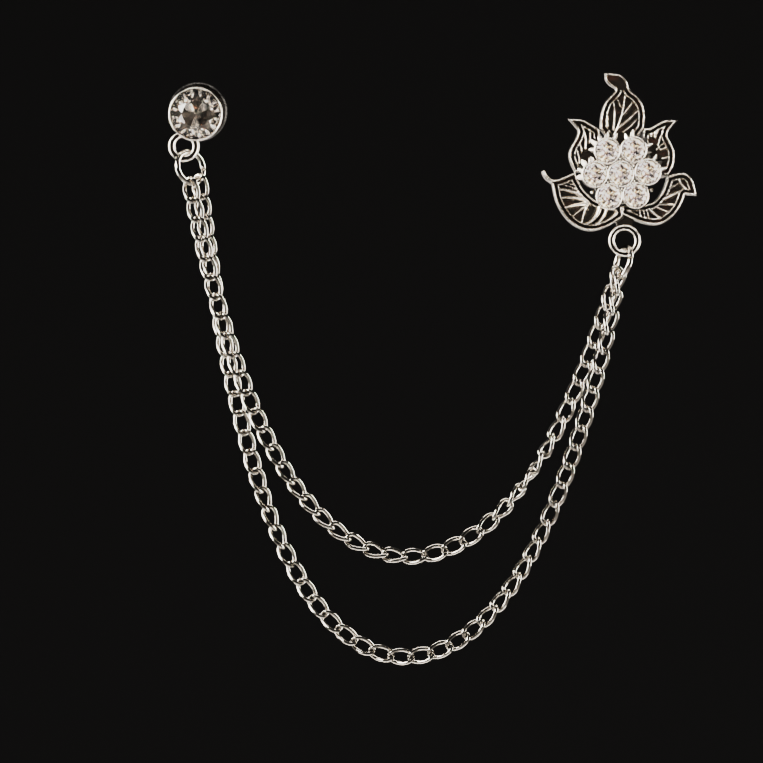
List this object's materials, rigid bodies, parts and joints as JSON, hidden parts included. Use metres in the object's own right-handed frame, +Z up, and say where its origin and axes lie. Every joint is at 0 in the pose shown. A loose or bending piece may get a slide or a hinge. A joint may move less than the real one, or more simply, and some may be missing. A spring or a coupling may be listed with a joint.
{
  "type": "lapel chain",
  "caption": "Lapel chain: a round crystal stud and a lobed leaf brooch with a crystal cluster, each on a back pin with a clutch, joined by hanging curb chains of different lengths.",
  "frame": {"origin": "where the leaf's pin leaves its flat back, at the cloth", "axes": "+Z up as the chains hang, front faces -Y, +Y along the pins into the cloth, +X to the viewer's right, with the stud at -X"},
  "size_m": [0.0984, 0.0138, 0.1106],
  "materials": {
    "silver_plate": "polished silver-coloured plate",
    "chain_metal": "polished silver-coloured plate",
    "clutch_metal": "satin silver-coloured plate",
    "clear_stone": "clear cut glass"
  },
  "bodies": {
    "root": {"leaf": "silver_plate", "leaf_clutch": "clutch_metal", "leaf_stone_1": "clear_stone", "leaf_stone_2": "clear_stone", "leaf_stone_3": "clear_stone", "leaf_stone_4": "clear_stone", "leaf_stone_5": "clear_stone", "leaf_stone_6": "clear_stone", "leaf_stone_7": "clear_stone", "stud": "silver_plate", "stud_stone": "clear_stone", "stud_clutch": "clutch_metal", "stud_jump_ring": "silver_plate", "leaf_jump_ring": "silver_plate", "long_chain": "chain_metal", "short_chain": "chain_metal"}
  },
  "joints": []
}
